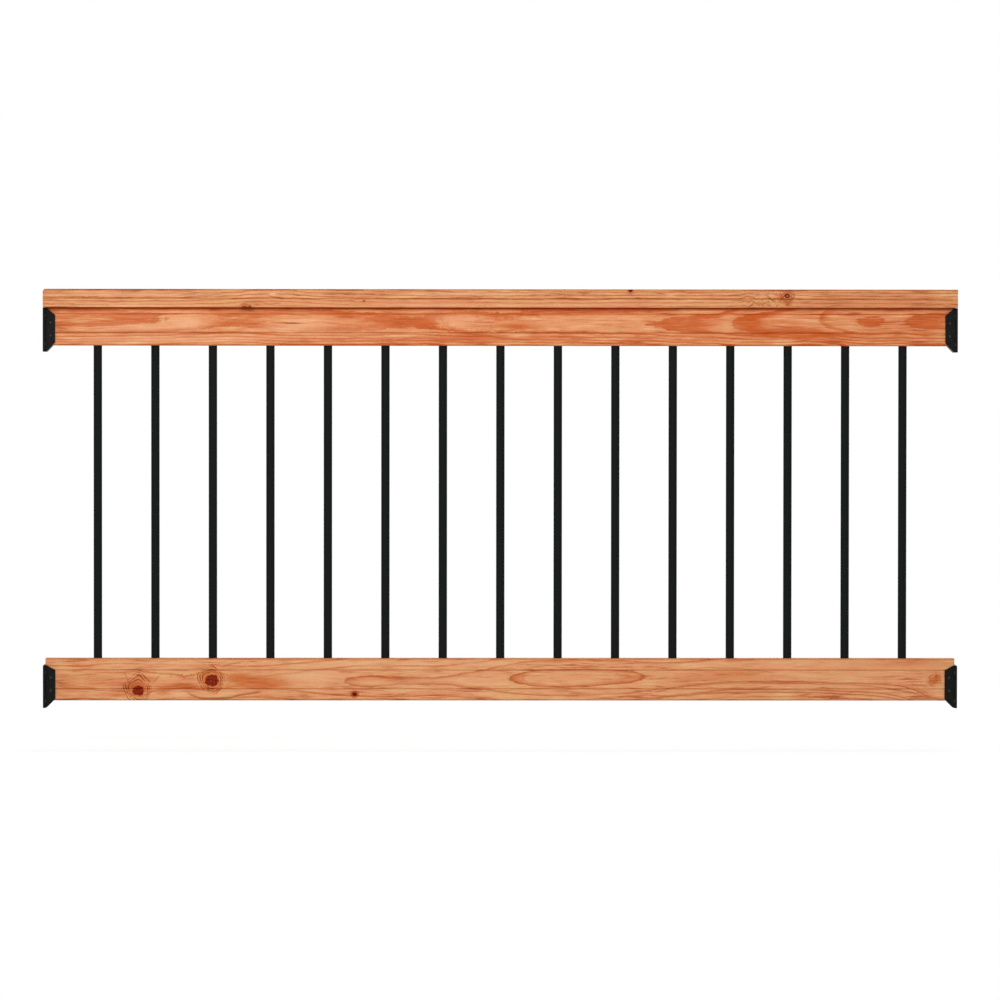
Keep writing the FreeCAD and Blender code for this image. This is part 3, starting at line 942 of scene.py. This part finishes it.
def screwPlaces():
    places = []
    for level, railName in (("lower", "bottom_rail"), ("upper", "top_rail")):
        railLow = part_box(railName)[0].z
        for side, inward in (("left", 1.0), ("right", -1.0)):
            low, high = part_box(f"bracket_{level}_{side}")
            post = low.x if inward > 0 else high.x
            middle = (low.z + high.z) / 2
            for face in (-1.0, 1.0):
                x = post + inward * screws["fromPost"] * mm
                y = face * screws["cheekFace"] * mm
                for up in screws["railHeights"]:
                    places.append(((x, y, railLow + up * mm), (0.0, face, 0.0)))
                x = post + inward * screws["plateFace"] * mm
                y = face * screws["wingMiddle"] * mm
                for up in (-screws["postSpacing"] / 2, screws["postSpacing"] / 2):
                    places.append(((x, y, middle + up * mm), (inward, 0.0, 0.0)))
    return places


heads = grown("bracketScrews", screwPlaces(), makeScrews(), {
    "Head Diameter": screws["headDiameter"] * mm, "Head Height": screws["headHeight"] * mm,
    "Recess Width": screws["recessWidth"] * mm, "Recess Length": screws["recessLength"] * mm,
    "Recess Depth": screws["recessDepth"] * mm, "Seed": screws["turnSeed"], "Finish": screwFinish,
})
dress(heads, screwFinish, [])


# Floor and surroundings: white to the camera and in gloss, pale to the light, with the shadow kept
stage = {
    "floorHeight": -0.12, "floorHalf": 30.0, "shadowReach": 1.6, "whiteBeyond": 3.2,  # metres
    "glow": 0.77, "shadowTone": 0.3, "pale": 0.8, "roomLight": 0.32,
}


def seenDirectly(tree):  # 1 for camera, glossy and transmission rays
    rays = tree.nodes.new("ShaderNodeLightPath")
    camera, glossy, through = (
        Wire(tree, rays.outputs[name]) for name in ("Is Camera Ray", "Is Glossy Ray", "Is Transmission Ray")
    )
    return camera.do("MAXIMUM", glossy).do("MAXIMUM", through)


def makeFloor():
    half, height = stage["floorHalf"], stage["floorHeight"]
    mesh = bpy.data.meshes.new("floor")
    corners = [(-half, -half, height), (half, -half, height), (half, half, height), (-half, half, height)]
    mesh.from_pydata(corners, [], [(0, 1, 2, 3)])
    floor = bpy.data.objects.new("floor", mesh)
    scene.collection.objects.link(floor)
    material = bpy.data.materials.new("floorPaint")
    material.use_nodes = True
    tree = material.node_tree
    tree.nodes.remove(tree.nodes["Principled BSDF"])
    glow = addNode(tree, "ShaderNodeEmission", {"Strength": stage["glow"]})
    faint = addNode(tree, "ShaderNodeBsdfDiffuse", {"Color": grey(stage["shadowTone"])})
    near = addNode(tree, "ShaderNodeAddShader", {0: glow, 1: faint})
    far = addNode(tree, "ShaderNodeEmission", {})
    position = addNode(tree, "ShaderNodeTexCoord", {}, "Object")
    middle = (aim.x, aim.y, height)
    reach = addNode(tree, "ShaderNodeVectorMath", {0: position, 1: middle}, "Value", operation="DISTANCE")
    fade = reach.step(stage["shadowReach"], stage["whiteBeyond"])
    shown = addNode(tree, "ShaderNodeMixShader", {0: fade, 1: near, 2: far})
    paint = addNode(tree, "ShaderNodeBsdfDiffuse", {"Color": grey(stage["pale"])})
    chosen = addNode(tree, "ShaderNodeMixShader", {0: seenDirectly(tree), 1: paint, 2: shown})
    plug(tree, tree.nodes["Material Output"].inputs["Surface"], chosen)
    mesh.materials.append(material)


def makeRoom():
    room = bpy.data.worlds.new("studio")
    room.use_nodes = True
    tree = room.node_tree
    background = tree.nodes["Background"]
    background.inputs["Color"].default_value = white
    seen = seenDirectly(tree)
    plug(tree, background.inputs["Strength"], seen * (1 - stage["roomLight"]) + stage["roomLight"])
    scene.world = room


# Soft boxes, each aimed at the middle of the section
softBoxes = {
    "front": {"place": (0.5, -3.4, 1.5), "size": (3.6, 0.9), "power": 79.0},
    "back": {"place": (1.6, 3.4, 2.5), "size": (3.6, 1.8), "power": 80.0},
    "overhead": {"place": (0.915, 0.25, 3.4), "size": (3.2, 0.8), "power": 30.0},
}
aim = Vector((0.915, 0.0, 0.35))


def makeLamp(name, values):
    lamp = bpy.data.lights.new(name, "AREA")
    lamp.shape = "RECTANGLE"
    lamp.size, lamp.size_y = values["size"]
    lamp.energy = values["power"]
    box = bpy.data.objects.new(name, lamp)
    box.location = values["place"]
    box.rotation_euler = (aim - box.location).to_track_quat("-Z", "Y").to_euler()
    scene.collection.objects.link(box)


# Camera: far off with a long lens, a touch above the middle
view = {
    "place": (0.7882, -12.0, 0.6038), "down": 1.1, "aside": 0.6, "roll": 0.05,  # metres and degrees
    "lens": 215.5, "sensor": 36.0,
}


def makeCamera():
    lens = bpy.data.cameras.new("camera")
    lens.lens = view["lens"]
    lens.sensor_width = view["sensor"]
    camera = bpy.data.objects.new("camera", lens)
    turn = Matrix.Rotation(math.radians(-view["aside"]), 4, "Z")
    turn = turn @ Matrix.Rotation(math.radians(90 - view["down"]), 4, "X")
    turn = turn @ Matrix.Rotation(math.radians(view["roll"]), 4, "Z")
    camera.matrix_world = Matrix.Translation(view["place"]) @ turn
    scene.collection.objects.link(camera)
    scene.camera = camera


makeFloor()
makeRoom()
for lampName, lampValues in softBoxes.items():
    makeLamp(lampName, lampValues)
makeCamera()
print("floor, lamps and camera made")
